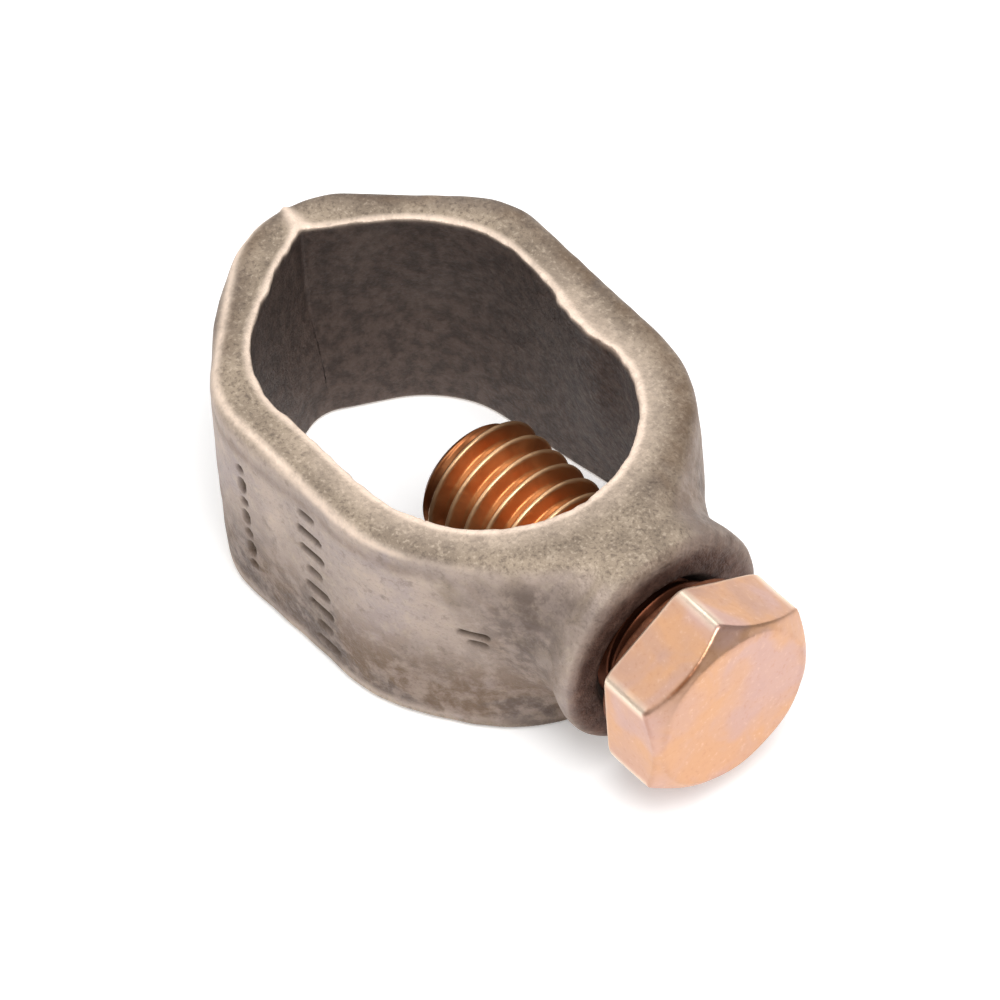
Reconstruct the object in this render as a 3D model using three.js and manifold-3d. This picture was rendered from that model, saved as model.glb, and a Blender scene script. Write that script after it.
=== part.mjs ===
// Ground-rod clamp: a cast bronze ring with a V seat, and the hex-head bolt that closes it.
// Millimetres, +Z up. +X runs along the bolt towards its head, Z along the rod that the
// ring goes round, and the origin is at the bottom centre of the whole clamp.
// Every piece is drawn in clamp coordinates: x from the middle of the ring's opening,
// z from the ring's mid height. The group at the end moves them to the origin.

import * as THREE from "three";
import { mergeVertices } from "three/addons/utils/BufferGeometryUtils.js";
import Module from "manifold-3d";

const wasm = await Module();
wasm.setup();

// ---- Driving dimensions -------------------------------------------------------------

// Ring casting. Its opening and its outside are each the outline round four circles: the
// V's apex, a shoulder on each side, and the round end that carries the threaded boss.
// As cast, the apex stands a little to one side of the bolt's axis.
const RING_HEIGHT = 16.6;
const RIM_ROUND = 1.2;
const OPENING = {
  apex: { x: -15.1, y: 0.9, r: 0 },
  shoulder: { x: -4.2, y: 1.1, r: 8.5 },
  end: { x: 5.0, y: 0, r: 9.35 },
};
const OUTSIDE = {
  apex: { x: -10.4, y: 0.6, r: 7.5 },
  shoulder: { x: -5.2, y: 5.5, r: 7.5 },
  end: { x: 5.0, y: 0, r: 12.8 },
};

// Threaded boss, a trumpet that flares towards the bolt head.
const BOSS_FACE_X = 21.0;
const BOSS_ROOT_X = 13.5;
const BOSS_ROOT_R = 8.0;
const BOSS_WAIST_X = 17.8;
const BOSS_WAIST_R = 6.9;
const BOSS_RIM_R = 7.85;
const BOSS_RIM_ROUND = 0.6;
const MOUTH_CHAMFER = 0.5;

// 3/8-16 UNC thread and its bolt, 13/16 inch under the head, half-inch hex.
const INCH = 25.4;
const PITCH = INCH / 16;
const THREAD_R = (3 / 8) * INCH * 0.5;
const THREAD_DEPTH = (5 / 8) * PITCH * Math.cos(Math.PI / 6);
const CREST_FLAT = PITCH / 8;
const BORE_CLEARANCE = 0.1;
const FLANK_CLEARANCE = 0.04;
const BOLT_LENGTH = (13 / 16) * INCH;
const HEAD_UNDER_X = 23.0;
const HEAD_HEIGHT = 5.0;
const HEAD_FLATS = INCH / 2;
const HEAD_FACE_R = 5.8;
const HEAD_CHAMFER = 1.1;
const POINT_R = 3.6;
const NECK_R = 3.85;
const NECK_LENGTH = 1.4;

// Raised round bearing face under the head.
const WASHER_FACE_R = 6.0;
const WASHER_FACE_THICK = 0.4;
const RUNNING_GAP = 0.3;

// ---- Solids ---------------------------------------------------------------------------

const SLACK = 1; // how far a cutter or envelope runs past what it trims
const TAP_FROM = 7; // whole turns of the thread, counted from x = 0
const TAP_TO = 15;
const TURN = 2 * Math.PI;

function solid(geometry) {
  const bare = geometry.clone();
  bare.deleteAttribute("normal");
  bare.deleteAttribute("uv");
  const merged = mergeVertices(bare, 1e-4);
  return new wasm.Manifold(
    new wasm.Mesh({
      numProp: 3,
      vertProperties: new Float32Array(merged.attributes.position.array),
      triVerts: new Uint32Array(merged.index.array),
    }),
  );
}

function geometryOf(manifold) {
  const { vertProperties, triVerts } = manifold.getMesh();
  const geometry = new THREE.BufferGeometry();
  geometry.setAttribute("position", new THREE.BufferAttribute(vertProperties, 3));
  geometry.setIndex(new THREE.BufferAttribute(triVerts, 1));
  geometry.computeVertexNormals();
  return geometry;
}

// A solid of revolution about the bolt axis. Each profile point is [x, radius].
function turned(profile, sides = 48) {
  const points = profile.map(([x, r]) => new THREE.Vector2(r, x));
  return new THREE.LatheGeometry(points, sides).rotateZ(-Math.PI / 2);
}

// Angle of the outward normal of the line that touches both circles on the left-hand
// side of the way from a to b, with both circles on its right.
function tangentAngle(a, b) {
  const along = Math.atan2(b.y - a.y, b.x - a.x);
  return along + Math.acos((a.r - b.r) / Math.hypot(b.x - a.x, b.y - a.y));
}

// The closed outline that wraps the shoulder, boss-end and apex circles.
function wrap({ apex, shoulder, end }) {
  const ring = [shoulder, end, { ...shoulder, y: -shoulder.y }, apex];
  const shape = new THREE.Shape();
  ring.forEach((circle, k) => {
    const from = tangentAngle(ring.at(k - 1), circle);
    const to = tangentAngle(circle, ring[(k + 1) % ring.length]);
    if (circle.r > 0) shape.absarc(circle.x, circle.y, circle.r, from, to, true);
    else shape.lineTo(circle.x, circle.y);
  });
  return shape;
}

// A right-hand threaded rod along X from one whole turn to another: crests of radius
// crestR, roots of radius crestR - THREAD_DEPTH, and flanks at 30 degrees.
function threadedRod(crestR, crestFlat, fromTurn, toTurn, sides = 32) {
  const rootR = crestR - THREAD_DEPTH;
  const flank = THREAD_DEPTH * Math.tan(Math.PI / 6);
  const profile = [
    [-crestFlat / 2 - flank, rootR],
    [-crestFlat / 2, crestR],
    [crestFlat / 2, crestR],
    [crestFlat / 2 + flank, rootR],
  ];
  const columns = profile.length;
  const steps = (toTurn - fromTurn) * sides;
  const positions = [];
  const addPoint = (x, r, angle) => {
    positions.push(x, r * Math.cos(angle), r * Math.sin(angle));
  };
  for (let i = 0; i <= steps + sides; i++) {
    const turn = fromTurn + i / sides;
    for (const [x, r] of profile) addPoint(PITCH * turn + x, r, TURN * turn);
  }
  // The last column of one step is the first column of the step one turn later.
  const at = (i, j) => (j < columns ? i * columns + j : (i + sides) * columns);
  const triangles = [];
  for (let i = 0; i < steps; i++) {
    for (let j = 0; j < columns; j++) {
      triangles.push(at(i, j), at(i + 1, j), at(i, j + 1));
      triangles.push(at(i + 1, j), at(i + 1, j + 1), at(i, j + 1));
    }
  }
  // Each end is a fan from the axis round one helical turn and back along the profile.
  const fan = (start, inwards) => {
    const rim = [];
    for (let i = 0; i <= sides; i++) rim.push(at(start + i, 0));
    for (let j = columns - 1; j > 0; j--) rim.push(at(start, j));
    const hub = positions.length / 3;
    addPoint(PITCH * (fromTurn + start / sides + 0.5), 0, 0);
    rim.forEach((a, k) => {
      const b = rim[(k + 1) % rim.length];
      triangles.push(hub, ...(inwards ? [b, a] : [a, b]));
    });
  };
  fan(0, true);
  fan(steps, false);
  const geometry = new THREE.BufferGeometry();
  geometry.setAttribute("position", new THREE.Float32BufferAttribute(positions, 3));
  geometry.setIndex(triangles);
  return geometry;
}

// ---- The clamp's pieces ---------------------------------------------------------------

function clampBody() {
  const block = new THREE.ExtrudeGeometry(wrap(OUTSIDE), {
    depth: RING_HEIGHT - 2 * RIM_ROUND,
    curveSegments: 8,
    bevelThickness: RIM_ROUND,
    bevelSize: RIM_ROUND,
    bevelOffset: -RIM_ROUND,
    bevelSegments: 3,
  }).translate(0, 0, RIM_ROUND - RING_HEIGHT / 2);

  const core = new THREE.ExtrudeGeometry(wrap(OPENING), {
    depth: RING_HEIGHT + 2 * SLACK,
    curveSegments: 8,
    bevelEnabled: false,
  }).translate(0, 0, -RING_HEIGHT / 2 - SLACK);

  const flare = new THREE.SplineCurve([
    new THREE.Vector2(BOSS_ROOT_X, BOSS_ROOT_R),
    new THREE.Vector2(BOSS_WAIST_X, BOSS_WAIST_R),
    new THREE.Vector2(BOSS_FACE_X - BOSS_RIM_ROUND, BOSS_RIM_R),
  ]).getPoints(10);
  const boss = turned([
    [BOSS_ROOT_X, 0],
    ...flare.map(({ x, y }) => [x, y]),
    [BOSS_FACE_X, BOSS_RIM_R - BOSS_RIM_ROUND],
    [BOSS_FACE_X, 0],
  ]);

  const boreR = THREAD_R + BORE_CLEARANCE;
  const tap = threadedRod(boreR, CREST_FLAT + 2 * FLANK_CLEARANCE, TAP_FROM, TAP_TO);
  const mouth = turned([
    [BOSS_FACE_X - MOUTH_CHAMFER, 0],
    [BOSS_FACE_X - MOUTH_CHAMFER, boreR],
    [BOSS_FACE_X + SLACK, boreR + MOUTH_CHAMFER + SLACK],
    [BOSS_FACE_X + SLACK, 0],
  ]);
  const casting = solid(block).add(solid(boss)).subtract(solid(core));
  return casting.subtract(solid(tap)).subtract(solid(mouth));
}

function hexBolt() {
  const tipX = HEAD_UNDER_X - BOLT_LENGTH;
  const faceX = HEAD_UNDER_X + HEAD_HEIGHT;
  const cornerR = HEAD_FLATS / Math.sqrt(3);
  const threadEndX = HEAD_UNDER_X - NECK_LENGTH;

  // The point and the run-out trim the thread; the neck carries on to the head.
  const envelope = turned([
    [tipX, 0],
    [tipX, POINT_R],
    [tipX + THREAD_R + SLACK - POINT_R, THREAD_R + SLACK],
    [threadEndX - THREAD_R - SLACK + NECK_R, THREAD_R + SLACK],
    [threadEndX, NECK_R],
    [threadEndX, 0],
  ]);
  const thread = threadedRod(THREAD_R, CREST_FLAT, 0, TAP_TO);
  const neck = turned([
    [threadEndX - SLACK, 0],
    [threadEndX - SLACK, NECK_R],
    [HEAD_UNDER_X + SLACK, NECK_R],
    [HEAD_UNDER_X + SLACK, 0],
  ]);

  // Corners point up and down, flats face the sides.
  const hex = new THREE.CylinderGeometry(cornerR, cornerR, HEAD_HEIGHT, 6)
    .rotateZ(-Math.PI / 2)
    .translate((HEAD_UNDER_X + faceX) / 2, 0, 0);
  const slope = HEAD_CHAMFER / (cornerR - HEAD_FACE_R);
  const crown = turned([
    [HEAD_UNDER_X - SLACK, 0],
    [HEAD_UNDER_X - SLACK, cornerR + SLACK],
    [faceX - HEAD_CHAMFER - slope * SLACK, cornerR + SLACK],
    [faceX, HEAD_FACE_R],
    [faceX, 0],
  ]);
  const head = solid(hex).intersect(solid(crown));
  return solid(thread).intersect(solid(envelope)).add(solid(neck)).add(head);
}

function washerFace() {
  const backX = HEAD_UNDER_X - RUNNING_GAP;
  const frontX = backX - WASHER_FACE_THICK;
  const holeR = NECK_R + RUNNING_GAP;
  const edge = WASHER_FACE_THICK / 2;
  return turned([
    [frontX, holeR],
    [frontX, WASHER_FACE_R - edge],
    [frontX + edge, WASHER_FACE_R],
    [backX, WASHER_FACE_R],
    [backX, holeR],
    [frontX, holeR],
  ]);
}

// ---- Materials and assembly -----------------------------------------------------------

const castBronze = new THREE.MeshStandardMaterial({
  color: 0xa09284,
  roughness: 0.75,
  metalness: 0.35,
});
const copperBolt = new THREE.MeshStandardMaterial({
  color: 0xd9a184,
  roughness: 0.38,
  metalness: 0.85,
});

function piece(name, geometry, material) {
  const mesh = new THREE.Mesh(geometry, material);
  mesh.name = name;
  return mesh;
}

const clamp = new THREE.Group();
clamp.add(
  piece("clamp_body", geometryOf(clampBody()), castBronze),
  piece("bolt_washer_face", washerFace(), copperBolt),
  piece("hex_bolt", geometryOf(hexBolt()), copperBolt),
);
const backX = OUTSIDE.apex.x - OUTSIDE.apex.r;
const frontX = HEAD_UNDER_X + HEAD_HEIGHT;
clamp.position.set(-(backX + frontX) / 2, 0, RING_HEIGHT / 2);

export default clamp;
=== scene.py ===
"""Ground-rod clamp: a sand-cast bronze ring with a V seat, closed by a copper-coloured hex bolt.

The casting's surface is where the function `casting` is zero, so that its fillets, worn edges,
flash and stamped ticks are real geometry. The bolt is a grid of rings round its own axis.
Shapes are worked out in millimetres in clamp coordinates: x along the bolt's axis from the
middle of the opening, y across the opening, z from the ring's mid height.
"""

import math

import bpy
import numpy as np
from mathutils import Matrix, Vector


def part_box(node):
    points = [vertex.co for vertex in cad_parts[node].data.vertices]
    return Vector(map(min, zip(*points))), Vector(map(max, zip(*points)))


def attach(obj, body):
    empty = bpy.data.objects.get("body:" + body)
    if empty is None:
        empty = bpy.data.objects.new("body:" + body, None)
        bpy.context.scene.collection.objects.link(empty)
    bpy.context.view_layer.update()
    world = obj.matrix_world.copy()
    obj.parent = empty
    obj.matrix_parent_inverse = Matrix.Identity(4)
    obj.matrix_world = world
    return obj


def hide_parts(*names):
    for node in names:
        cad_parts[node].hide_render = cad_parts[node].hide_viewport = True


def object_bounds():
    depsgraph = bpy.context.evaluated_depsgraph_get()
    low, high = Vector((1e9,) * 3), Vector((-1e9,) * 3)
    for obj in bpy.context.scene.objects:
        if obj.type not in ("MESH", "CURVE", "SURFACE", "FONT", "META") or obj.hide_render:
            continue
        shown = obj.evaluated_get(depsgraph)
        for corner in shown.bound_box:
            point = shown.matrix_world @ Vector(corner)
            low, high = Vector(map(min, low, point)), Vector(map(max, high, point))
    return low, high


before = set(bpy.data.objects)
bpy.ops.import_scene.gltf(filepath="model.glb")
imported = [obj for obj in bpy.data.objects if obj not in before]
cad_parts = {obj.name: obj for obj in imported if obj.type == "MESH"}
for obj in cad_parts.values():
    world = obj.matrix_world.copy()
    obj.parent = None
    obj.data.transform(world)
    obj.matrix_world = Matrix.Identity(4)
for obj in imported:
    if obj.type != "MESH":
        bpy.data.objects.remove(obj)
CAD_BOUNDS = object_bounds()

MM = 0.001
INCH = 25.4
TAU = 2 * math.pi

# ---- Driving dimensions, millimetres --------------------------------------------------

BOSS_FACE_X = 21.0
BODY_LOW, BODY_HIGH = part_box("clamp_body")
ORIGIN = np.array([BODY_HIGH.x / MM - BOSS_FACE_X, 0, (BODY_LOW.z + BODY_HIGH.z) / 2 / MM])
HALF_HEIGHT = (BODY_HIGH.z - BODY_LOW.z) / 2 / MM

# Circles (x, y, radius) that the outlines of the opening and of the outside wrap round. The
# opening leans in from OPENING, in its upper part, to OPENING_LOW at the ring's underside.
OPENING_APEX = (-15.1, 0.9)
OPENING = [(*OPENING_APEX, 0), (-4.2, 1.35, 8.5), (-4.2, -1.1, 8.5), (5.0, 0, 9.35)]
OPENING_LOW = [(-10.0, -0.2, 3.3), (-4.2, 0.6, 8.1), (-4.2, -1.1, 8.4), (5.2, 0.5, 9.6)]
OUTSIDE = [(-10.4, 0.6, 7.5), (-5.2, 5.5, 7.5), (-5.2, -5.2, 7.3), (4.9, 0, 12.75)]
LEAN_FROM_Z = 0.25 * HALF_HEIGHT
LEAN_REACH = 3.5
# Where the walls move out from an outline (+) or in (-): (x, y, how wide, how much).
OUTSIDE_SWELLS = [
    (-13.5, -7.3, 3.4, 0.45),
    (-12.0, 9.5, 3.0, 0.1),
    (-8.5, 11.5, 4.0, 0.25),
    (12.0, 10.5, 4.5, 0.4),
    (11.0, -10.0, 4.5, -0.55),
    (-5.0, -13.0, 4.5, 0.35),
]
OPENING_SWELLS = [
    (-13.4, -2.2, 2.4, 0.22),
    (-12.3, 5.0, 2.6, 0.3),
    (3.4, 9.3, 2.6, -0.55),
    (3.4, -9.3, 3.0, 0.2),
]
WALL_DRAFT = 0.02
RIM_ROUND = 1.2
LOW_RIM_ROUND = 0.6
LID_ROUND = 0.3
INNER_ROUND = 0.16
LOW_INNER_ROUND = 0.45
RAGGED_DEPTH = 1.6

# Unevenness of the cast and forged skins: (height, width of a bump, seed).
SKIN_LUMPS = (0.05, 5.0, 3)
SKIN_GRAIN = (0.02, 1.1, 4)
OPENING_LUMPS = (0.03, 3.0, 5)
LIP_GRAIN = (0.05, 0.7, 7)
LIP_NICKS = (0.09, 1.5, 8)
HEAD_SIDE_LUMPS = (0.035, 2.2, 11)
HEAD_END_LUMPS = (0.035, 2.6, 12)

# The flash is a thin ridge where the mould's halves met, over the apex of the ring.
FLASH_Y = 1.0
FLASH_WIDTH = 0.24
FLASH_HEIGHT = 0.18

# The boss is a trumpet that starts inside the ring's wall: (x, radius) at its root, where it
# is thinnest and where it is widest.
BOSS_START_X = 9.0
BOSS_ROOT = (11.0, 7.9)
BOSS_WAIST = (17.6, 7.0)
BOSS_RIM = (20.2, 7.8)
BOSS_RIM_ROUND = 0.7
BOSS_OFF_AXIS = (0.2, 0.35)
BOSS_FILLET = 5.0
LOW_BOSS_FILLET = 1.8
MOUTH_CHAMFER = 0.5

PITCH = INCH / 16
THREAD_R = 3 / 8 * INCH / 2
THREAD_DEPTH = 5 / 8 * PITCH * math.cos(math.pi / 6)
BORE_CLEARANCE = 0.1
BORE_START_X = 7.0

HEAD_UNDER_X = 23.0
HEAD_HEIGHT = 5.0
HEAD_FLATS = INCH / 2
HEAD_CORNER_R = HEAD_FLATS / math.sqrt(3)
HEAD_FACE_R = 5.8
HEAD_FACE_X = HEAD_UNDER_X + HEAD_HEIGHT
HEAD_CHAMFER = 1.1
HEAD_SLANT = (HEAD_CORNER_R - HEAD_FACE_R) / HEAD_CHAMFER
HEAD_BACK_EDGE = 0.1
HEAD_BACK_R = HEAD_FLATS / 2 + 0.75
BOLT_TIP_X = HEAD_UNDER_X - 13 / 16 * INCH
POINT_R = 3.7
POINT_X = BOLT_TIP_X - 0.22
NECK_R = 3.85
NECK_LENGTH = 1.4
NECK_FILLET = 0.3
WASHER_FACE_R = 6.0
WASHER_FACE_THICK = 0.4
RUNNING_GAP = 0.3

# Generic ticks and dots stamped into the side wall: (x, z, half width, half height, pen radius).
STAMP_DEPTH = 0.3
TICK_ROW = [(1.7 + 0.18 * i, 5.4 - 1.65 * i, 0.9 if i % 3 else 0.45, 0, 0.3) for i in range(8)]
DOT_ROW = [(-4.7 + 0.08 * i, 4.6 - 1.5 * i, 0, 0.3 if i % 2 else 0, 0.36) for i in range(7)]
END_MARKS = [(13.6, 1.7, 0.7, 0, 0.26), (13.8, 0.8, 0.35, 0, 0.26)]
STAMPS = TICK_ROW + DOT_ROW + END_MARKS

# How fine the meshes are.
OUTLINE_STEP = 0.1
CASTING_VOXEL = 0.17
THREAD_STEP = 0.075
HEAD_STEP = 0.07
COLUMNS = 144
ANGLES = TAU * np.arange(COLUMNS) / COLUMNS

# ---- Shape functions ------------------------------------------------------------------


def smoothstep(low, high, value):
    t = np.clip((value - low) / (high - low), 0, 1)
    return t * t * (3 - 2 * t)


def bell(distance, width):
    """1 where the distance is 0, falling away to 0 over about two widths."""
    return np.exp(-((distance / width) ** 2))


def smooth_max(a, b, blend):
    h = np.clip(0.5 + 0.5 * (a - b) / blend, 0, 1)
    return b + (a - b) * h + blend * h * (1 - h)


def smooth_min(a, b, blend):
    return -smooth_max(-a, -b, blend)


def rounded_max(a, b, radius):
    """Two faces that meet in an edge of that radius."""
    a, b = a + radius, b + radius
    return np.minimum(np.maximum(a, b), 0) + np.hypot(np.maximum(a, 0), np.maximum(b, 0)) - radius


class Outline:
    """Distance from the line wrapped round some circles, kept on a fine grid."""

    MARGIN = 6.0
    DIRECTIONS = 720

    def __init__(self, circles):
        circle = np.array(circles, float)
        reach = circle[:, 2:] + self.MARGIN
        self.low = (circle[:, :2] - reach).min(0)
        extent = (circle[:, :2] + reach).max(0) - self.low
        self.size = np.ceil(extent / OUTLINE_STEP).astype(int)
        x, y = (self.low[i] + OUTLINE_STEP * np.arange(self.size[i] + 1) for i in range(2))
        gx, gy = np.meshgrid(x, y, indexing="ij")
        self.values = np.full(gx.shape, -np.inf)
        for angle in np.linspace(0, TAU, self.DIRECTIONS, endpoint=False):
            nx, ny = math.cos(angle), math.sin(angle)
            support = (circle[:, 0] * nx + circle[:, 1] * ny + circle[:, 2]).max()
            np.maximum(self.values, gx * nx + gy * ny - support, out=self.values)

    def __call__(self, x, y):
        u = np.clip((x - self.low[0]) / OUTLINE_STEP, 0, self.size[0] - 1e-6)
        v = np.clip((y - self.low[1]) / OUTLINE_STEP, 0, self.size[1] - 1e-6)
        i, j = u.astype(int), v.astype(int)
        u, v = u - i, v - j
        g = self.values
        left = g[i, j] * (1 - v) + g[i, j + 1] * v
        right = g[i + 1, j] * (1 - v) + g[i + 1, j + 1] * v
        return left * (1 - u) + right * u


opening_top = Outline(OPENING)
opening_low = Outline(OPENING_LOW)
outside = Outline(OUTSIDE)


def ripple(points, height, width, seed, waves=40):
    """Smooth unevenness of about that height each way, with bumps of about that width."""
    rng = np.random.default_rng(seed)
    direction = rng.normal(size=(waves, 3))
    direction *= (math.pi / width) / np.linalg.norm(direction, axis=1)[:, None]
    direction *= rng.uniform(0.6, 1.4, (waves, 1))
    phase = rng.uniform(0, TAU, waves)
    return height * np.sin(points @ direction.T + phase).sum(1) / math.sqrt(waves) / 1.2


def swelling(x, y, places):
    """How far a wall stands out from its outline, in millimetres."""
    return sum(
        amount * np.exp(-((x - cx) ** 2 + (y - cy) ** 2) / width**2)
        for cx, cy, width, amount in places
    )


def opening(p):
    """Distance from the wall of the opening, negative inside the hole."""
    x, y, z = p.T
    low = smoothstep(LEAN_FROM_Z, -HALF_HEIGHT, z)
    hole = opening_top(x, y) * (1 - low) + opening_low(x, y) * low
    return hole - swelling(x, y, OPENING_SWELLS) * (1 - low)


def boss(p):
    """The flared boss that holds the bolt, without its bore: negative inside the metal."""
    x, y, z = p.T
    r = np.hypot(y - BOSS_OFF_AXIS[0], z - BOSS_OFF_AXIS[1])
    sweep = smoothstep(BOSS_ROOT[0], BOSS_WAIST[0], x)
    flare = smoothstep(BOSS_WAIST[0], BOSS_RIM[0], x)
    radius = BOSS_ROOT[1] + (BOSS_WAIST[1] - BOSS_ROOT[1]) * sweep
    radius = radius + (BOSS_RIM[1] - BOSS_WAIST[1]) * flare
    trumpet = rounded_max(r - radius, x - BOSS_FACE_X, BOSS_RIM_ROUND)
    return np.maximum(trumpet, BOSS_START_X - x)


def stamped(p):
    """1 in the middle of a stamped mark, 0 away from it."""
    x, y, z = p.T
    mark = np.zeros(len(p))
    for cx, cz, half_x, half_z, pen in STAMPS:
        past_x = np.maximum(np.abs(x - cx) - half_x, 0)
        past_z = np.maximum(np.abs(z - cz) - half_z, 0)
        mark = np.maximum(mark, smoothstep(pen + 0.12, pen - 0.16, np.hypot(past_x, past_z)))
    near_side = smoothstep(-6.0, -7.0, y)
    return mark * near_side


def flash(p):
    """1 on the parting line that crosses the apex of the ring, 0 away from it.

    The line slants and wanders a little, and it widens towards the opening.
    """
    x, y, z = p.T
    line = FLASH_Y + 0.1 * np.sin(1.3 * z) + 0.2 * (-15 - x)
    width = FLASH_WIDTH + 0.2 * np.clip(x + 17.3, 0, 3)
    return bell(y - line, width) * smoothstep(-14.2, -14.9, x)


def from_crest(p):
    """How far along the axis a point is from the nearest crest of the thread."""
    x, y, z = p.T
    turn = x / PITCH - np.arctan2(z, y) / TAU
    return np.abs((turn + 0.5) % 1 - 0.5) * PITCH


def thread_radius(crest_radius, along, soft=0.06):
    """A 60 degree thread with a narrow flat on its crest and a wider one at its root."""
    drop = (along - PITCH / 16) / math.tan(math.pi / 6)
    drop = smooth_min(smooth_max(drop, 0, soft), THREAD_DEPTH, soft)
    return crest_radius - drop


def tapped_bore(p):
    x, y, z = p.T
    crest_radius = THREAD_R + BORE_CLEARANCE
    wall = thread_radius(crest_radius, np.maximum(from_crest(p) - 0.04, 0))
    wall = np.maximum(wall, crest_radius + MOUTH_CHAMFER + x - BOSS_FACE_X)
    wall = np.where(x > BORE_START_X, wall, 0)
    # The thread's flanks slope, so this keeps the value near to a true distance.
    return (np.hypot(y, z) - wall) * 0.7


def ragged_lip(p):
    """How far the opening's top edge is broken back, most where the far flank meets the round."""
    x, y, z = p.T
    torn = bell(x - 3.5, 3.5) * smoothstep(6, 8, y)
    ragged = ripple(p, *LIP_GRAIN) + np.maximum(ripple(p, *LIP_NICKS), 0)
    return ragged * (1 + 2.0 * torn) * smoothstep(HALF_HEIGHT - RAGGED_DEPTH, HALF_HEIGHT, z)


def casting(p):
    """Zero on the surface of the casting, negative inside the metal."""
    x, y, z = p.T
    lid = np.abs(z) - HALF_HEIGHT
    side = outside(x, y) + WALL_DRAFT * np.abs(z) - swelling(x, y, OUTSIDE_SWELLS)
    body = rounded_max(side, lid, np.where(z > 0, RIM_ROUND, LOW_RIM_ROUND))
    fillet = LOW_BOSS_FILLET + (BOSS_FILLET - LOW_BOSS_FILLET) * smoothstep(-3, 6, z)
    body = smooth_min(body, boss(p), fillet)
    body = rounded_max(body, lid, LID_ROUND)
    body = body + ripple(p, *SKIN_LUMPS) + ripple(p, *SKIN_GRAIN)
    body = body - FLASH_HEIGHT * flash(p) + STAMP_DEPTH * stamped(p)
    hole = opening(p) + ripple(p, *OPENING_LUMPS) + ragged_lip(p)
    body = smooth_max(body, -hole, np.where(z > 0, INNER_ROUND, LOW_INNER_ROUND))
    return np.maximum(body, -tapped_bore(p))


# ---- Mesh helpers ---------------------------------------------------------------------


def read_points(mesh):
    points = np.empty(len(mesh.vertices) * 3)
    mesh.vertices.foreach_get("co", points)
    return points.reshape(-1, 3)


def write_points(mesh, points):
    mesh.vertices.foreach_set("co", points.ravel())
    mesh.update()


def add_values(mesh, name, values):
    """Keeps a number for each point, which the material reads by that name."""
    attribute = mesh.attributes.new(name, "FLOAT", "POINT")
    attribute.data.foreach_set("value", values.astype(np.float32))


def slope(f, p, step=0.02):
    """The value of f at each point, and which way and how steeply it rises there."""
    here = f(p)
    gradient = np.empty_like(p)
    for axis in range(3):
        moved = p.copy()
        moved[:, axis] += step
        gradient[:, axis] = (f(moved) - here) / step
    return here, gradient


def settle(f, p, rounds=4, reach=0.4):
    """Moves points onto the surface where f is zero."""
    for _ in range(rounds):
        here, gradient = slope(f, p)
        size = np.maximum((gradient**2).sum(1), 0.05)
        move = -(here / size)[:, None] * gradient
        length = np.linalg.norm(move, axis=1)[:, None]
        p = p + move * np.minimum(1, reach / np.maximum(length, 1e-9))
    return p


def relax(mesh, p, share=0.5):
    """Evens out the spacing of the points along the edges."""
    pairs = np.empty(len(mesh.edges) * 2, np.int32)
    mesh.edges.foreach_get("vertices", pairs)
    a, b = pairs.reshape(-1, 2).T
    total = np.zeros_like(p)
    count = np.zeros(len(p))
    for here, there in ((a, b), (b, a)):
        for axis in range(3):
            total[:, axis] += np.bincount(here, p[there, axis], len(p))
        count += np.bincount(here, minlength=len(p))
    return p + share * (total / np.maximum(count, 1)[:, None] - p)


def remeshed_copy(node, voxel):
    """An even mesh of quads round the same shape as a CAD node, in clamp coordinates."""
    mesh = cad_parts[node].data.copy()
    write_points(mesh, read_points(mesh) / MM - ORIGIN)
    block = bpy.data.objects.new("block", mesh)
    bpy.context.scene.collection.objects.link(block)
    modifier = block.modifiers.new("Remesh", "REMESH")
    modifier.mode = "VOXEL"
    modifier.voxel_size = voxel
    graph = bpy.context.evaluated_depsgraph_get()
    result = bpy.data.meshes.new_from_object(block.evaluated_get(graph))
    bpy.data.objects.remove(block)
    bpy.data.meshes.remove(mesh)
    return result


def lathe_mesh(name, rows, closed=False):
    """Skins rings of points round the x axis.

    A row is (x, radius), each a number or one per column. The last ring joins the first if the
    skin is closed, and otherwise the two ends are capped at the axis.
    """
    rings = []
    for x, r in rows:
        rings.append(np.stack([x + 0 * ANGLES, r * np.cos(ANGLES), r * np.sin(ANGLES)], 1))
    points = [tuple(point) for point in np.concatenate(rings)]
    after = [(j + 1) % COLUMNS for j in range(COLUMNS)]
    last = len(rings) - 1
    joins = [(i * COLUMNS, (i + 1) * COLUMNS) for i in range(last)]
    if closed:
        joins.append((last * COLUMNS, 0))
    faces = []
    for a, b in joins:
        faces += [(a + j, b + j, b + k, a + k) for j, k in enumerate(after)]
    if not closed:
        for ring, turn in ((0, 1), (last, -1)):
            hub = len(points)
            points.append((rings[ring][:, 0].mean(), 0, 0))
            start = ring * COLUMNS
            faces += [(hub, start + j, start + k)[::turn] for j, k in enumerate(after)]
    mesh = bpy.data.meshes.new(name)
    mesh.from_pydata(points, [], faces)
    mesh.update()
    return mesh


def finish_piece(name, mesh, points, body, material, node):
    """Makes a piece from a mesh whose points are given in clamp coordinates."""
    write_points(mesh, (points + ORIGIN) * MM)
    mesh.polygons.foreach_set("use_smooth", np.ones(len(mesh.polygons), bool))
    mesh.update()
    mesh.materials.clear()
    mesh.materials.append(material)
    piece = bpy.data.objects.new(name, mesh)
    bpy.context.scene.collection.objects.link(piece)
    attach(piece, body)
    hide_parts(node)


# ---- Casting --------------------------------------------------------------------------


def lean_in(p):
    """Carries points near the opening along to where its wall leans in, lower down."""
    upright = opening_top(p[:, 0], p[:, 1])
    here, gradient = slope(opening, p)
    gradient[:, 2] = 0
    move = (here - upright) * smoothstep(LEAN_REACH, 0.0, upright)
    return p - gradient * (move / np.maximum((gradient**2).sum(1), 0.2))[:, None]


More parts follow.
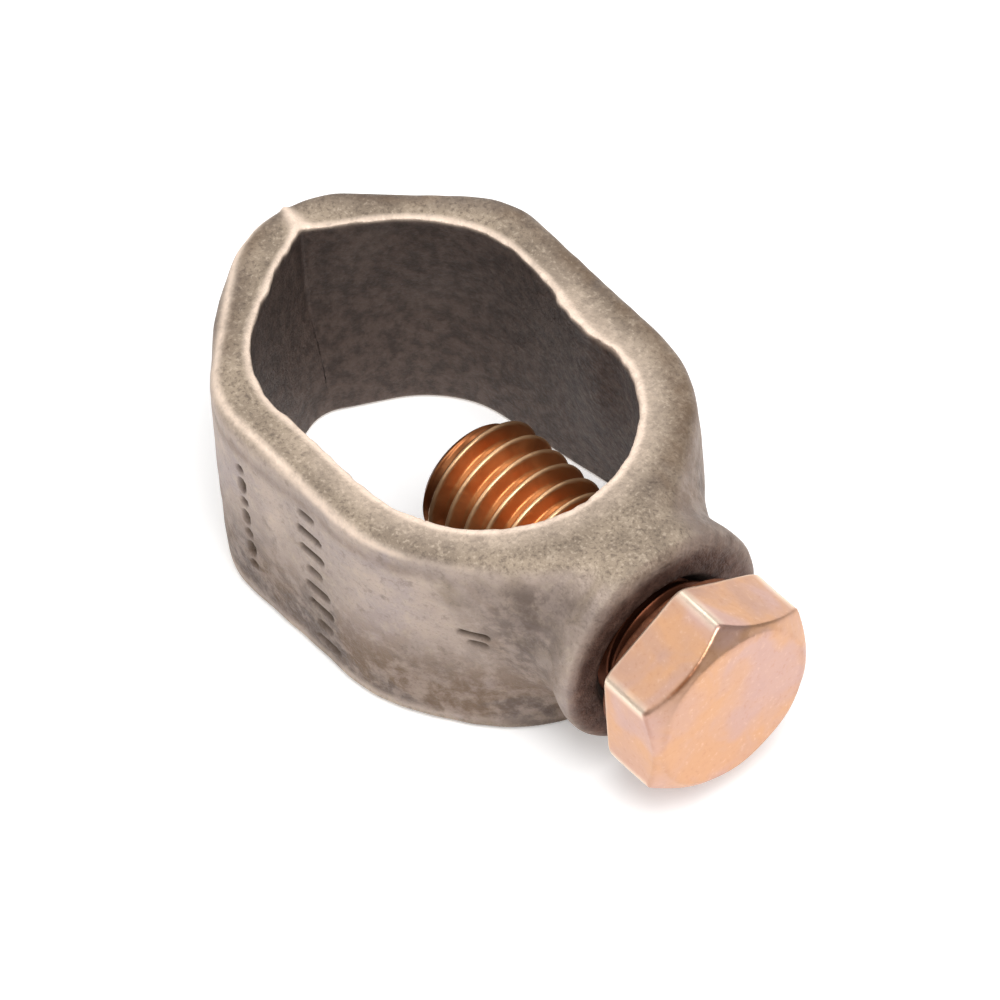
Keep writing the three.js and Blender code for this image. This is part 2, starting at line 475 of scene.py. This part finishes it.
def casting_marks(p):
    """How far each point has each look of the casting, from 0 to 1."""
    x, y, z = p.T
    hole = opening(p)
    edge = outside(x, y)
    from_axis = np.hypot(y, z)
    from_rim = HALF_HEIGHT - np.abs(z)
    upper = smoothstep(-2, 2, z)

    # Bright metal, partly wear and partly painted highlight: the opening's worn lip and the flash,
    # a painted highlight on the outer edge of the near flank, and a painted highlight on the
    # inner half of the rim towards the bolt.
    lip = smoothstep(0.65, 0.15, hole) * bell(np.maximum(from_rim, 0), 0.26)
    lip *= 0.2 + 0.8 * upper
    outer_edge_highlight = bell(edge + 0.4, 0.3) * smoothstep(1.1, 0.6, from_rim)
    outer_edge_highlight *= smoothstep(15.0, 11.0, x) * 0.9 * upper * smoothstep(3.0, -3.0, y)
    inner_rim_highlight = 0.35 * smoothstep(2.4, 0.5, hole) * smoothstep(0.8, 0.2, from_rim) * upper
    inner_rim_highlight *= smoothstep(-5.0, 3.0, x)
    ridge = flash(p) * smoothstep(2.5, 0.2, from_rim) * smoothstep(0.0, 0.4, hole)

    # Dark oxide and painted shade: the opening's wall and the tapped bore.
    inside = smoothstep(0.25, 0.0, hole) * smoothstep(0.05, 0.35, from_rim)
    bore = smoothstep(THREAD_R + 0.5, THREAD_R + 0.2, from_axis) * smoothstep(11, 12, x)
    # Painted shadow of the head on the boss's end face, lighter towards its rim.
    boss_face_shadow = smoothstep(BOSS_FACE_X - 0.45, BOSS_FACE_X - 0.15, x)
    boss_face_shadow *= 1 - 0.6 * smoothstep(6.6, 7.8, from_axis)

    # Painted shade with some grime: low on the wall where less light reaches, round the boss,
    # under the rim's outer edge, and on the rim's far side, which faces away from the light.
    low_wall = smoothstep(3.0, -5.0, z) * smoothstep(0.6, 1.6, from_rim)
    by_boss = 0.9 * bell(x - 16.5, 4.0) * smoothstep(8.0, 6.0, z)
    under_rim = 0.5 * bell(from_rim - 2.0, 0.6) * upper
    far_side = np.maximum(smoothstep(1.0, 5.0, y), 0.8 * smoothstep(-8.0, -12.0, x))
    far_rim = 0.75 * smoothstep(-2.2, -0.6, edge) * far_side * upper

    return {
        "wear_and_highlight": np.clip(lip + outer_edge_highlight + ridge + inner_rim_highlight, 0, 1),
        "inside": np.maximum(inside, bore),
        "boss_face_shadow": boss_face_shadow,
        "stamped": stamped(p),
        "rim": smoothstep(1.0, 0.2, from_rim),
        "shade_and_grime": np.max([low_wall, by_boss, under_rim, far_rim], axis=0),
    }


def make_casting(material):
    mesh = remeshed_copy("clamp_body", CASTING_VOXEL)
    p = settle(casting, lean_in(read_points(mesh)))
    for _ in range(2):
        p = settle(casting, relax(mesh, p), rounds=2)
    for name, values in casting_marks(p).items():
        add_values(mesh, name, values)
    finish_piece("casting", mesh, p, "clamp_body", material, "clamp_body")


# ---- Bolt -----------------------------------------------------------------------------

# The chamfer's crease is darkened most on the flat that faces this way round the axis.
DARKEST_FLAT = math.radians(125)


def hex_radius(flats, crispness=70):
    """Radius of a hexagon with slightly rounded corners, one value per column."""
    total = np.zeros(COLUMNS)
    for side in range(6):
        facing = np.maximum(np.cos(ANGLES - side * TAU / 6), 0)
        total += (facing / (flats / 2)) ** crispness
    return total ** (-1 / crispness)


def shank_rows():
    """Rings of the point, the thread, its run-out and the neck."""
    thread_end = HEAD_UNDER_X - NECK_LENGTH
    rows = []
    for r in np.linspace(0.15, POINT_R - 0.1, 12):
        rows.append((POINT_X + 0.05 * (1 - r / POINT_R), r))
    for x in np.arange(POINT_X + 0.06, thread_end, THREAD_STEP):
        p = np.stack([x + 0 * ANGLES, np.cos(ANGLES), np.sin(ANGLES)], 1)
        r = thread_radius(THREAD_R, from_crest(p))
        point = POINT_R + (x - POINT_X)
        run_out = NECK_R + (thread_end - x)
        rows.append((x, smooth_min(smooth_min(r, point, 0.2), run_out, 0.3)))
    rows.append((thread_end + 0.4, NECK_R))
    rows.append((HEAD_UNDER_X - NECK_FILLET, NECK_R))
    rows.append((HEAD_UNDER_X - 0.3 * NECK_FILLET, NECK_R + 0.3 * NECK_FILLET))
    rows.append((HEAD_UNDER_X, NECK_R + NECK_FILLET))
    return rows


def head_rows():
    """Rings of the head's underside, its sides with their chamfered crown, and its end face."""
    hexagon = hex_radius(HEAD_FLATS)
    underside = smooth_min(hexagon - HEAD_BACK_EDGE, HEAD_BACK_R, 0.3)
    rows = []
    for t in np.linspace(0.1, 1, 10):
        rows.append((HEAD_UNDER_X, (NECK_R + NECK_FILLET) * (1 - t) + underside * t))
    for x in np.arange(HEAD_UNDER_X + 0.04, HEAD_FACE_X - 0.02, HEAD_STEP):
        back = underside + (x - HEAD_UNDER_X)
        crown = HEAD_FACE_R + (HEAD_FACE_X - x) * HEAD_SLANT
        rows.append((x, smooth_min(smooth_min(hexagon, back, 0.1), crown, 0.16)))
    for r in np.linspace(HEAD_FACE_R - 0.1, 0.2, 30):
        rows.append((HEAD_FACE_X - 0.02 * (r / HEAD_FACE_R) ** 6, r))
    return rows


def bolt_marks(p):
    """How far each point has each look of the bolt, from 0 to 1."""
    x, y, z = p.T
    reach = np.hypot(y, z)
    angle = np.arctan2(z, y)
    shank = smoothstep(HEAD_UNDER_X + 0.02, HEAD_UNDER_X - 0.05, x)
    head = 1 - shank
    side = TAU / 6

    # Painted shade on the neck in the gap under the head, and a darker tip.
    by_head = smoothstep(BOSS_FACE_X - 2.2, BOSS_FACE_X - 1.2, x) * shank
    by_tip = 0.6 * smoothstep(BOLT_TIP_X + 2.2, BOLT_TIP_X + 0.4, x)

    # Distances from the head's corners, from the chamfer's cone and from the flats.
    from_corner = np.abs((angle / side) % 1 - 0.5) * side * HEAD_FLATS / 2
    from_crown = HEAD_FACE_R + (HEAD_FACE_X - x) * HEAD_SLANT - reach
    from_flat = HEAD_FLATS / 2 / np.cos((angle + side / 2) % side - side / 2) - reach

    # The head's corners and back edge: worn, with painted highlights along them.
    corner = bell(from_corner, 0.3) * smoothstep(0.1, 0.5, from_crown) * head
    corner = corner * smoothstep(5.9, 6.3, reach)
    back = bell(x - HEAD_UNDER_X - 0.05, 0.14) * smoothstep(5.9, 6.2, reach)
    crease = bell(from_crown, 0.22) * bell(from_flat, 0.16) * head
    darkening = 0.2 + bell(angle - DARKEST_FLAT, 0.42)
    face_edge = bell(reach - HEAD_FACE_R, 0.2) * smoothstep(HEAD_FACE_X - 0.5, HEAD_FACE_X - 0.1, x)
    return {
        "shank": shank,
        # A painted highlight along the thread's crests.
        "crest": smoothstep(THREAD_R - 0.16, THREAD_R - 0.02, reach) * shank,
        "neck": np.maximum(by_head, by_tip),
        "wear_and_highlight": np.maximum(corner, 0.7 * back),
        "crease": np.maximum(crease * darkening, 0.2 * face_edge),
    }


def uneven_head(p):
    """Draws the head's faces in a little here and there, as forging leaves them."""
    head = smoothstep(HEAD_UNDER_X - 0.2, HEAD_UNDER_X + 0.3, p[:, 0])
    outward = p * [0, 1, 1] / np.maximum(np.hypot(p[:, 1], p[:, 2]), 0.5)[:, None]
    p = p + outward * (head * (ripple(p, *HEAD_SIDE_LUMPS) - HEAD_SIDE_LUMPS[0]))[:, None]
    p[:, 0] += head * (ripple(p, *HEAD_END_LUMPS) - HEAD_END_LUMPS[0])
    return p


def make_bolt(material):
    mesh = lathe_mesh("bolt", shank_rows() + head_rows())
    p = read_points(mesh)
    for name, values in bolt_marks(p).items():
        add_values(mesh, name, values)
    finish_piece("bolt", mesh, uneven_head(p), "bolt", material, "hex_bolt")


def make_bearing_face(material):
    """The round raised face under the head, with a rounded rim, open in the middle for the neck."""
    front = HEAD_UNDER_X - RUNNING_GAP - WASHER_FACE_THICK
    back = HEAD_UNDER_X - 0.03
    hole = NECK_R + RUNNING_GAP
    edge = WASHER_FACE_THICK / 2
    flat = WASHER_FACE_R - edge
    rows = [(front, r) for r in np.linspace(hole + 0.1, flat - 0.1, 8)]
    for angle in np.linspace(0, math.pi / 2, 6):
        rows.append((front + edge * (1 - math.cos(angle)), flat + edge * math.sin(angle)))
    rows.append((back - 0.05, WASHER_FACE_R))
    rows += [(back, r) for r in np.linspace(WASHER_FACE_R - 0.05, hole + 0.1, 6)]
    rows += [(x, hole) for x in np.linspace(back - 0.08, front + 0.08, 3)]
    mesh = lathe_mesh("bearing_face", rows, closed=True)
    finish_piece(
        "bearing_face",
        mesh,
        read_points(mesh),
        "bolt_carriage",
        material,
        "bolt_washer_face",
    )


# ---- Materials ------------------------------------------------------------------------


def srgb(red, green, blue):
    """A colour's 0 to 255 screen values, as the linear values that a shader takes."""

    def linear(value):
        value /= 255
        return value / 12.92 if value <= 0.04045 else ((value + 0.055) / 1.055) ** 2.4

    return linear(red), linear(green), linear(blue)


class Nodes:
    """A material and its node tree. Sizes of patterns and depths of bumps are in millimetres."""

    def __init__(self, name):
        self.material = bpy.data.materials.new(name)
        self.material.use_nodes = True
        self.tree = self.material.node_tree
        self.shader = self.tree.nodes["Principled BSDF"]
        self.place = self.add("ShaderNodeTexCoord").outputs["Object"]

    def add(self, kind, **settings):
        node = self.tree.nodes.new(kind)
        for key, value in settings.items():
            setattr(node, key, value)
        return node

    def put(self, socket, value):
        if isinstance(value, bpy.types.NodeSocket):
            self.tree.links.new(value, socket)
        elif socket.type == "RGBA":
            socket.default_value = (*value, 1)
        else:
            socket.default_value = value

    def set(self, name, value):
        self.put(self.shader.inputs[name], value)

    def noise(self, size, detail=4.0, rough=0.55, distort=0.0):
        node = self.add("ShaderNodeTexNoise")
        self.put(node.inputs["Vector"], self.place)
        node.inputs["Scale"].default_value = 1 / (size * MM)
        node.inputs["Detail"].default_value = detail
        node.inputs["Roughness"].default_value = rough
        node.inputs["Distortion"].default_value = distort
        return node.outputs["Fac"]

    def attribute(self, name):
        return self.add("ShaderNodeAttribute", attribute_name=name).outputs["Fac"]

    def remap(self, value, low, high, to_low=0.0, to_high=1.0):
        node = self.add("ShaderNodeMapRange", interpolation_type="SMOOTHSTEP")
        self.put(node.inputs["Value"], value)
        self.put(node.inputs["From Min"], low)
        self.put(node.inputs["From Max"], high)
        self.put(node.inputs["To Min"], to_low)
        self.put(node.inputs["To Max"], to_high)
        return node.outputs["Result"]

    def times(self, a, b):
        node = self.add("ShaderNodeMath", operation="MULTIPLY", use_clamp=True)
        self.put(node.inputs[0], a)
        self.put(node.inputs[1], b)
        return node.outputs[0]

    def mix(self, share, a, b):
        node = self.add("ShaderNodeMix", data_type="RGBA")
        self.put(node.inputs["Factor"], share)
        self.put(node.inputs[6], a)
        self.put(node.inputs[7], b)
        return node.outputs[2]

    def vary(self, pattern, a, b):
        """A colour that drifts from a to b with a noise pattern."""
        return self.mix(self.remap(pattern, 0.35, 0.65), a, b)

    def spots(self, color, pattern, start, full, share, tint):
        """Tints a colour by up to a share, where a pattern goes from start to full."""
        return self.mix(self.remap(pattern, start, full, 0, share), color, tint)

    def bump(self, height, depth, normal=None):
        node = self.add("ShaderNodeBump")
        node.inputs["Distance"].default_value = depth * MM
        self.put(node.inputs["Height"], height)
        if normal is not None:
            self.put(node.inputs["Normal"], normal)
        return node.outputs["Normal"]


def cast_bronze():
    """Weathered sand casting: pinkish grey walls, browner rims, a dark inside that is partly painted
    shade, bright worn edges that are partly painted highlights, and painted shade low on the walls.
    """
    n = Nodes("cast_bronze")
    grain = n.noise(0.26, 3.0, 0.6)
    sand = n.noise(0.9, 5.0, 0.65)
    cloud = n.noise(5.0, 3.0, 0.5, 0.4)
    patch = n.noise(9.0, 4.0, 0.6, 0.8)
    rim = n.attribute("rim")

    wall = n.vary(cloud, srgb(174, 157, 147), srgb(192, 173, 160))
    wall = n.spots(wall, patch, 0.5, 0.66, 0.55, srgb(166, 152, 152))
    wall = n.spots(wall, patch, 0.45, 0.3, 0.6, srgb(146, 128, 104))
    top = n.vary(cloud, srgb(142, 126, 109), srgb(174, 156, 136))
    color = n.mix(rim, wall, top)
    color = n.spots(color, sand, 0.52, 0.68, 0.4, srgb(200, 182, 162))
    color = n.spots(color, sand, 0.46, 0.3, 0.45, srgb(112, 98, 86))

    # Fine light and dark flecks, strongest on the rims.
    flecks = n.remap(rim, 0.0, 1.0, 0.4, 1.0)
    light_fleck = n.times(n.remap(grain, 0.54, 0.68, 0, 0.42), flecks)
    dark_fleck = n.times(n.remap(grain, 0.47, 0.35, 0, 0.55), flecks)
    color = n.mix(light_fleck, color, srgb(222, 204, 184))
    color = n.mix(dark_fleck, color, srgb(98, 84, 72))

    # Painted shade with some grime, broken into streaks.
    streak = n.remap(n.noise(1.3, 5.0, 0.65, 0.2), 0.36, 0.6, 0.55, 1.0)
    shade_and_grime = n.times(n.times(n.attribute("shade_and_grime"), streak), 0.92)
    shade_and_dirt = n.mix(n.remap(patch, 0.42, 0.56), srgb(88, 72, 64), srgb(108, 84, 62))
    color = n.mix(shade_and_grime, color, shade_and_dirt)
    # The opening's wall and the bore: dark oxide with painted shade.
    dark = n.vary(sand, srgb(70, 57, 51), srgb(98, 82, 74))
    color = n.mix(n.attribute("inside"), color, dark)
    # Painted shadow on the boss's end face.
    face = n.vary(sand, srgb(84, 58, 48), srgb(112, 84, 72))
    color = n.mix(n.attribute("boss_face_shadow"), color, face)
    color = n.mix(n.attribute("stamped"), color, srgb(78, 60, 44))
    # Worn edges, and painted highlights along the rims.
    shine = n.times(n.attribute("wear_and_highlight"), n.remap(sand, 0.3, 0.6, 0.7, 1.0))
    color = n.mix(shine, color, srgb(255, 232, 212))

    n.set("Base Color", color)
    n.set("Roughness", n.remap(grain, 0.3, 0.7, 0.5, 0.68))
    n.set("Metallic", 0.35)
    n.set("Normal", n.bump(grain, 0.07, n.bump(sand, 0.16)))
    return n.material


def bolt_bronze():
    """Copper-coloured bolt: a pale head with pinkish blotches, a redder thread with painted
    highlights on its crests.
    """
    n = Nodes("bolt_bronze")
    cloud = n.noise(3.2, 3.0, 0.5, 0.5)
    fine = n.noise(0.35, 4.0, 0.6)
    blotch = n.noise(6.0, 2.0, 0.5, 0.6)

    color = n.vary(cloud, srgb(212, 163, 126), srgb(210, 168, 145))
    color = n.spots(color, blotch, 0.48, 0.62, 0.75, srgb(202, 166, 158))
    color = n.spots(color, fine, 0.56, 0.75, 0.3, srgb(240, 208, 186))
    color = n.spots(color, fine, 0.45, 0.28, 0.3, srgb(190, 134, 104))
    patchy = n.remap(n.noise(1.6, 3.0, 0.6), 0.4, 0.6, 0.25, 0.9)
    color = n.mix(n.times(n.attribute("crease"), patchy), color, srgb(150, 96, 64))
    # Worn corners and back edge, with painted highlights.
    color = n.mix(n.attribute("wear_and_highlight"), color, srgb(255, 236, 214))
    thread = n.vary(cloud, srgb(196, 122, 70), srgb(212, 142, 88))
    # Painted highlight on the thread's crests.
    thread = n.mix(n.attribute("crest"), thread, srgb(240, 194, 148))
    color = n.mix(n.attribute("shank"), color, thread)
    # Painted shade on the neck under the head, and a darker tip.
    color = n.mix(n.attribute("neck"), color, srgb(96, 54, 36))

    n.set("Base Color", color)
    n.set("Metallic", 0.9)
    n.set("Roughness", n.remap(cloud, 0.3, 0.7, 0.34, 0.48))
    n.set("Normal", n.bump(fine, 0.012, n.bump(n.noise(1.4, 2.0, 0.5), 0.05)))
    return n.material


def oxide_and_shade_bronze():
    """The dark brown on the bearing face, in the gap under the head: an oxide film with painted
    shade.
    """
    n = Nodes("oxide_and_shade_bronze")
    cloud = n.noise(1.2, 3.0, 0.5, 0.5)
    fine = n.noise(0.3, 4.0, 0.6)
    color = n.vary(cloud, srgb(92, 52, 32), srgb(128, 76, 48))
    color = n.spots(color, fine, 0.5, 0.75, 0.5, srgb(160, 104, 70))
    n.set("Base Color", color)
    n.set("Metallic", 0.6)
    n.set("Roughness", n.remap(cloud, 0.3, 0.7, 0.5, 0.65))
    n.set("Normal", n.bump(fine, 0.03))
    return n.material


# ---- Scene ----------------------------------------------------------------------------

CENTRE = (CAD_BOUNDS[0] + CAD_BOUNDS[1]) / 2
FLOOR_HALF_SIDE = 3.0
WORLD_LIGHT = 0.32

# The camera: its direction and roll in degrees, the point it looks at in millimetres from the
# CAD origin, its distance from that point in metres, and its lens in millimetres.
CAMERA_AZIMUTH, CAMERA_ELEVATION, CAMERA_ROLL = 53.7, 50.4, -4.7
CAMERA_AIM = (-1.18, 1.01, 6.22)
CAMERA_DISTANCE = 0.5585
CAMERA_LENS = 315.7

# Round softboxes: name, azimuth and elevation in degrees, distance and diameter in metres,
# power in watts.
LIGHTS = [
    ("key", 80, 68, 0.5, 0.35, 2.15),
    ("left", -47, 45, 0.5, 0.4, 0.46),
    ("back", -149, 12, 0.6, 0.4, 0.42),
    ("glint", -126.3, 50.4, 0.6, 0.16, 0.35),
]


def direction(azimuth, elevation):
    """Azimuth 0 is on the -y side of the object, 90 on the +x side."""
    a, e = math.radians(azimuth), math.radians(elevation)
    return Vector((math.sin(a) * math.cos(e), -math.cos(a) * math.cos(e), math.sin(e)))


def make_floor():
    mesh = bpy.data.meshes.new("floor")
    far = FLOOR_HALF_SIDE
    corners = [(-far, -far, 0), (far, -far, 0), (far, far, 0), (-far, far, 0)]
    mesh.from_pydata(corners, [], [(0, 1, 2, 3)])
    floor = bpy.data.objects.new("floor", mesh)
    bpy.context.scene.collection.objects.link(floor)
    n = Nodes("floor")
    n.set("Base Color", (0.93, 0.93, 0.93))
    n.set("Roughness", 0.9)
    n.set("Specular IOR Level", 0.1)
    n.set("Emission Color", (1, 1, 1))
    n.set("Emission Strength", 0.3)
    mesh.materials.append(n.material)


def make_light(name, azimuth, elevation, distance, size, power):
    light = bpy.data.lights.new(name, "AREA")
    light.shape = "DISK"
    light.size = size
    light.energy = power
    obj = bpy.data.objects.new(name, light)
    bpy.context.scene.collection.objects.link(obj)
    away = direction(azimuth, elevation)
    obj.location = CENTRE + away * distance
    obj.rotation_euler = away.to_track_quat("Z", "Y").to_euler()


def make_camera():
    back = direction(CAMERA_AZIMUTH, CAMERA_ELEVATION)
    level = Vector((0, 0, 1)).cross(back).normalized()
    upright = back.cross(level)
    roll = math.radians(CAMERA_ROLL)
    right = level * math.cos(roll) + upright * math.sin(roll)
    up = upright * math.cos(roll) - level * math.sin(roll)
    place = Matrix.Translation(Vector(CAMERA_AIM) * MM + back * CAMERA_DISTANCE)
    camera = bpy.data.cameras.new("camera")
    camera.lens = CAMERA_LENS
    camera.sensor_width = 36.0
    camera.clip_start = 0.01
    obj = bpy.data.objects.new("camera", camera)
    bpy.context.scene.collection.objects.link(obj)
    obj.matrix_world = place @ Matrix((right, up, back)).transposed().to_4x4()
    bpy.context.scene.camera = obj


def make_world():
    world = bpy.data.worlds.new("studio")
    world.use_nodes = True
    background = world.node_tree.nodes["Background"]
    background.inputs["Color"].default_value = (1, 1, 1, 1)
    background.inputs["Strength"].default_value = WORLD_LIGHT
    bpy.context.scene.world = world


make_casting(cast_bronze())
make_bolt(bolt_bronze())
make_bearing_face(oxide_and_shade_bronze())

make_floor()
make_camera()
make_world()
for settings in LIGHTS:
    make_light(*settings)
bpy.context.scene.view_settings.view_transform = "Standard"
